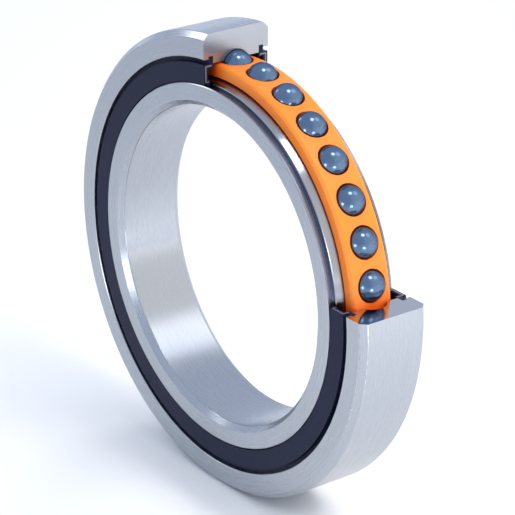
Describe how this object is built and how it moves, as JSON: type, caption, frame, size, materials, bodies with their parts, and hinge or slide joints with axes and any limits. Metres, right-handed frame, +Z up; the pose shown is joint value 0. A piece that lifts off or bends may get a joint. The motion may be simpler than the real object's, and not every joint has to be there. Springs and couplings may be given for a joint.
{
  "type": "angular contact bearing",
  "caption": "Sealed single-row angular contact ball bearing with a one-piece window cage, sectioned for display: part of the outer ring and both seals is cut away.",
  "frame": {"origin": "centre of the bore at mid-width", "axes": "+Y along the bearing axis from the front face to the rear face, +Z up, +X to the right seen from the front"},
  "size_m": [0.08, 0.013, 0.08],
  "materials": {
    "ring_steel": "ground bearing steel with a fine circular lay, polished on the cut faces",
    "seal_rubber": "moulded nitrile rubber, satin, very dark blue",
    "seal_steel": "pressed sheet steel",
    "cage_resin": "machined orange phenolic resin, satin",
    "ball_ceramic": "lapped silicon nitride ceramic, dark slate blue, high gloss"
  },
  "bodies": {
    "outer": {"outer_ring": "ring_steel", "front_seal_rubber": "seal_rubber", "front_seal_insert": "seal_steel", "rear_seal_rubber": "seal_rubber", "rear_seal_insert": "seal_steel"},
    "inner": {"inner_ring": "ring_steel"},
    "cage": {"cage": "cage_resin"},
    "ball_01_body": {"ball_01": "ball_ceramic"},
    "ball_02_body": {"ball_02": "ball_ceramic"},
    "ball_03_body": {"ball_03": "ball_ceramic"},
    "ball_04_body": {"ball_04": "ball_ceramic"},
    "ball_05_body": {"ball_05": "ball_ceramic"},
    "ball_06_body": {"ball_06": "ball_ceramic"},
    "ball_07_body": {"ball_07": "ball_ceramic"},
    "ball_08_body": {"ball_08": "ball_ceramic"},
    "ball_09_body": {"ball_09": "ball_ceramic"},
    "ball_10_body": {"ball_10": "ball_ceramic"},
    "ball_11_body": {"ball_11": "ball_ceramic"},
    "ball_12_body": {"ball_12": "ball_ceramic"},
    "ball_13_body": {"ball_13": "ball_ceramic"},
    "ball_14_body": {"ball_14": "ball_ceramic"},
    "ball_15_body": {"ball_15": "ball_ceramic"},
    "ball_16_body": {"ball_16": "ball_ceramic"},
    "ball_17_body": {"ball_17": "ball_ceramic"},
    "ball_18_body": {"ball_18": "ball_ceramic"},
    "ball_19_body": {"ball_19": "ball_ceramic"},
    "ball_20_body": {"ball_20": "ball_ceramic"},
    "ball_21_body": {"ball_21": "ball_ceramic"},
    "ball_22_body": {"ball_22": "ball_ceramic"},
    "ball_23_body": {"ball_23": "ball_ceramic"},
    "ball_24_body": {"ball_24": "ball_ceramic"},
    "ball_25_body": {"ball_25": "ball_ceramic"},
    "ball_26_body": {"ball_26": "ball_ceramic"},
    "ball_27_body": {"ball_27": "ball_ceramic"},
    "ball_28_body": {"ball_28": "ball_ceramic"},
    "ball_29_body": {"ball_29": "ball_ceramic"},
    "ball_30_body": {"ball_30": "ball_ceramic"},
    "ball_31_body": {"ball_31": "ball_ceramic"}
  },
  "joints": [
    {"name": "inner_spin", "type": "hinge", "parent": "outer", "child": "inner", "pos_m": [0, 0, 0], "axis": [0, 1, 0], "continuous": true},
    {"name": "cage_spin", "type": "hinge", "parent": "outer", "child": "cage", "pos_m": [0, 0, 0], "axis": [0, 1, 0], "continuous": true},
    {"name": "ball_01_spin", "type": "hinge", "parent": "cage", "child": "ball_01_body", "pos_m": [-0.00165, 0, 0.03371], "axis": [-0.0126, 0.9659, 0.2585], "continuous": true},
    {"name": "ball_02_spin", "type": "hinge", "parent": "cage", "child": "ball_02_body", "pos_m": [0.00517, 0, 0.03335], "axis": [0.0397, 0.9659, 0.2558], "continuous": true},
    {"name": "ball_03_spin", "type": "hinge", "parent": "cage", "child": "ball_03_body", "pos_m": [0.01178, 0, 0.03163], "axis": [0.0903, 0.9659, 0.2425], "continuous": true},
    {"name": "ball_04_spin", "type": "hinge", "parent": "cage", "child": "ball_04_body", "pos_m": [0.0179, 0, 0.02861], "axis": [0.1373, 0.9659, 0.2194], "continuous": true},
    {"name": "ball_05_spin", "type": "hinge", "parent": "cage", "child": "ball_05_body", "pos_m": [0.0233, 0, 0.02442], "axis": [0.1787, 0.9659, 0.1873], "continuous": true},
    {"name": "ball_06_spin", "type": "hinge", "parent": "cage", "child": "ball_06_body", "pos_m": [0.02774, 0, 0.01923], "axis": [0.2127, 0.9659, 0.1475], "continuous": true},
    {"name": "ball_07_spin", "type": "hinge", "parent": "cage", "child": "ball_07_body", "pos_m": [0.03104, 0, 0.01325], "axis": [0.238, 0.9659, 0.1016], "continuous": true},
    {"name": "ball_08_spin", "type": "hinge", "parent": "cage", "child": "ball_08_body", "pos_m": [0.03307, 0, 0.00673], "axis": [0.2536, 0.9659, 0.0516], "continuous": true},
    {"name": "ball_09_spin", "type": "hinge", "parent": "cage", "child": "ball_09_body", "pos_m": [0.03375, 0, -0.00006], "axis": [0.2588, 0.9659, -0.0005], "continuous": true},
    {"name": "ball_10_spin", "type": "hinge", "parent": "cage", "child": "ball_10_body", "pos_m": [0.03305, 0, -0.00685], "axis": [0.2534, 0.9659, -0.0526], "continuous": true},
    {"name": "ball_11_spin", "type": "hinge", "parent": "cage", "child": "ball_11_body", "pos_m": [0.03099, 0, -0.01337], "axis": [0.2377, 0.9659, -0.1025], "continuous": true},
    {"name": "ball_12_spin", "type": "hinge", "parent": "cage", "child": "ball_12_body", "pos_m": [0.02767, 0, -0.01933], "axis": [0.2122, 0.9659, -0.1482], "continuous": true},
    {"name": "ball_13_spin", "type": "hinge", "parent": "cage", "child": "ball_13_body", "pos_m": [0.02321, 0, -0.0245], "axis": [0.178, 0.9659, -0.1879], "continuous": true},
    {"name": "ball_14_spin", "type": "hinge", "parent": "cage", "child": "ball_14_body", "pos_m": [0.0178, 0, -0.02867], "axis": [0.1365, 0.9659, -0.2199], "continuous": true},
    {"name": "ball_15_spin", "type": "hinge", "parent": "cage", "child": "ball_15_body", "pos_m": [0.01166, 0, -0.03167], "axis": [0.0895, 0.9659, -0.2429], "continuous": true},
    {"name": "ball_16_spin", "type": "hinge", "parent": "cage", "child": "ball_16_body", "pos_m": [0.00505, 0, -0.03337], "axis": [0.0387, 0.9659, -0.2559], "continuous": true},
    {"name": "ball_17_spin", "type": "hinge", "parent": "cage", "child": "ball_17_body", "pos_m": [-0.00177, 0, -0.0337], "axis": [-0.0136, 0.9659, -0.2585], "continuous": true},
    {"name": "ball_18_spin", "type": "hinge", "parent": "cage", "child": "ball_18_body", "pos_m": [-0.00852, 0, -0.03266], "axis": [-0.0653, 0.9659, -0.2504], "continuous": true},
    {"name": "ball_19_spin", "type": "hinge", "parent": "cage", "child": "ball_19_body", "pos_m": [-0.01492, 0, -0.03027], "axis": [-0.1144, 0.9659, -0.2322], "continuous": true},
    {"name": "ball_20_spin", "type": "hinge", "parent": "cage", "child": "ball_20_body", "pos_m": [-0.02071, 0, -0.02665], "axis": [-0.1588, 0.9659, -0.2044], "continuous": true},
    {"name": "ball_21_spin", "type": "hinge", "parent": "cage", "child": "ball_21_body", "pos_m": [-0.02565, 0, -0.02194], "axis": [-0.1967, 0.9659, -0.1682], "continuous": true},
    {"name": "ball_22_spin", "type": "hinge", "parent": "cage", "child": "ball_22_body", "pos_m": [-0.02954, 0, -0.01633], "axis": [-0.2265, 0.9659, -0.1252], "continuous": true},
    {"name": "ball_23_spin", "type": "hinge", "parent": "cage", "child": "ball_23_body", "pos_m": [-0.03222, 0, -0.01005], "axis": [-0.2471, 0.9659, -0.077], "continuous": true},
    {"name": "ball_24_spin", "type": "hinge", "parent": "cage", "child": "ball_24_body", "pos_m": [-0.03358, 0, -0.00335], "axis": [-0.2575, 0.9659, -0.0257], "continuous": true},
    {"name": "ball_25_spin", "type": "hinge", "parent": "cage", "child": "ball_25_body", "pos_m": [-0.03357, 0, 0.00347], "axis": [-0.2574, 0.9659, 0.0266], "continuous": true},
    {"name": "ball_26_spin", "type": "hinge", "parent": "cage", "child": "ball_26_body", "pos_m": [-0.03218, 0, 0.01016], "axis": [-0.2468, 0.9659, 0.0779], "continuous": true},
    {"name": "ball_27_spin", "type": "hinge", "parent": "cage", "child": "ball_27_body", "pos_m": [-0.02948, 0, 0.01643], "axis": [-0.2261, 0.9659, 0.126], "continuous": true},
    {"name": "ball_28_spin", "type": "hinge", "parent": "cage", "child": "ball_28_body", "pos_m": [-0.02557, 0, 0.02203], "axis": [-0.1961, 0.9659, 0.1689], "continuous": true},
    {"name": "ball_29_spin", "type": "hinge", "parent": "cage", "child": "ball_29_body", "pos_m": [-0.02061, 0, 0.02673], "axis": [-0.1581, 0.9659, 0.205], "continuous": true},
    {"name": "ball_30_spin", "type": "hinge", "parent": "cage", "child": "ball_30_body", "pos_m": [-0.01481, 0, 0.03033], "axis": [-0.1136, 0.9659, 0.2326], "continuous": true},
    {"name": "ball_31_spin", "type": "hinge", "parent": "cage", "child": "ball_31_body", "pos_m": [-0.0084, 0, 0.03269], "axis": [-0.0644, 0.9659, 0.2507], "continuous": true}
  ],
  "couplings": [
    {"joint": "cage_spin", "follows": "inner_spin", "ratio": 0.46309},
    {"joint": "ball_01_spin", "follows": "inner_spin", "ratio": -6.5063},
    {"joint": "ball_02_spin", "follows": "inner_spin", "ratio": -6.5063},
    {"joint": "ball_03_spin", "follows": "inner_spin", "ratio": -6.5063},
    {"joint": "ball_04_spin", "follows": "inner_spin", "ratio": -6.5063},
    {"joint": "ball_05_spin", "follows": "inner_spin", "ratio": -6.5063},
    {"joint": "ball_06_spin", "follows": "inner_spin", "ratio": -6.5063},
    {"joint": "ball_07_spin", "follows": "inner_spin", "ratio": -6.5063},
    {"joint": "ball_08_spin", "follows": "inner_spin", "ratio": -6.5063},
    {"joint": "ball_09_spin", "follows": "inner_spin", "ratio": -6.5063},
    {"joint": "ball_10_spin", "follows": "inner_spin", "ratio": -6.5063},
    {"joint": "ball_11_spin", "follows": "inner_spin", "ratio": -6.5063},
    {"joint": "ball_12_spin", "follows": "inner_spin", "ratio": -6.5063},
    {"joint": "ball_13_spin", "follows": "inner_spin", "ratio": -6.5063},
    {"joint": "ball_14_spin", "follows": "inner_spin", "ratio": -6.5063},
    {"joint": "ball_15_spin", "follows": "inner_spin", "ratio": -6.5063},
    {"joint": "ball_16_spin", "follows": "inner_spin", "ratio": -6.5063},
    {"joint": "ball_17_spin", "follows": "inner_spin", "ratio": -6.5063},
    {"joint": "ball_18_spin", "follows": "inner_spin", "ratio": -6.5063},
    {"joint": "ball_19_spin", "follows": "inner_spin", "ratio": -6.5063},
    {"joint": "ball_20_spin", "follows": "inner_spin", "ratio": -6.5063},
    {"joint": "ball_21_spin", "follows": "inner_spin", "ratio": -6.5063},
    {"joint": "ball_22_spin", "follows": "inner_spin", "ratio": -6.5063},
    {"joint": "ball_23_spin", "follows": "inner_spin", "ratio": -6.5063},
    {"joint": "ball_24_spin", "follows": "inner_spin", "ratio": -6.5063},
    {"joint": "ball_25_spin", "follows": "inner_spin", "ratio": -6.5063},
    {"joint": "ball_26_spin", "follows": "inner_spin", "ratio": -6.5063},
    {"joint": "ball_27_spin", "follows": "inner_spin", "ratio": -6.5063},
    {"joint": "ball_28_spin", "follows": "inner_spin", "ratio": -6.5063},
    {"joint": "ball_29_spin", "follows": "inner_spin", "ratio": -6.5063},
    {"joint": "ball_30_spin", "follows": "inner_spin", "ratio": -6.5063},
    {"joint": "ball_31_spin", "follows": "inner_spin", "ratio": -6.5063}
  ]
}
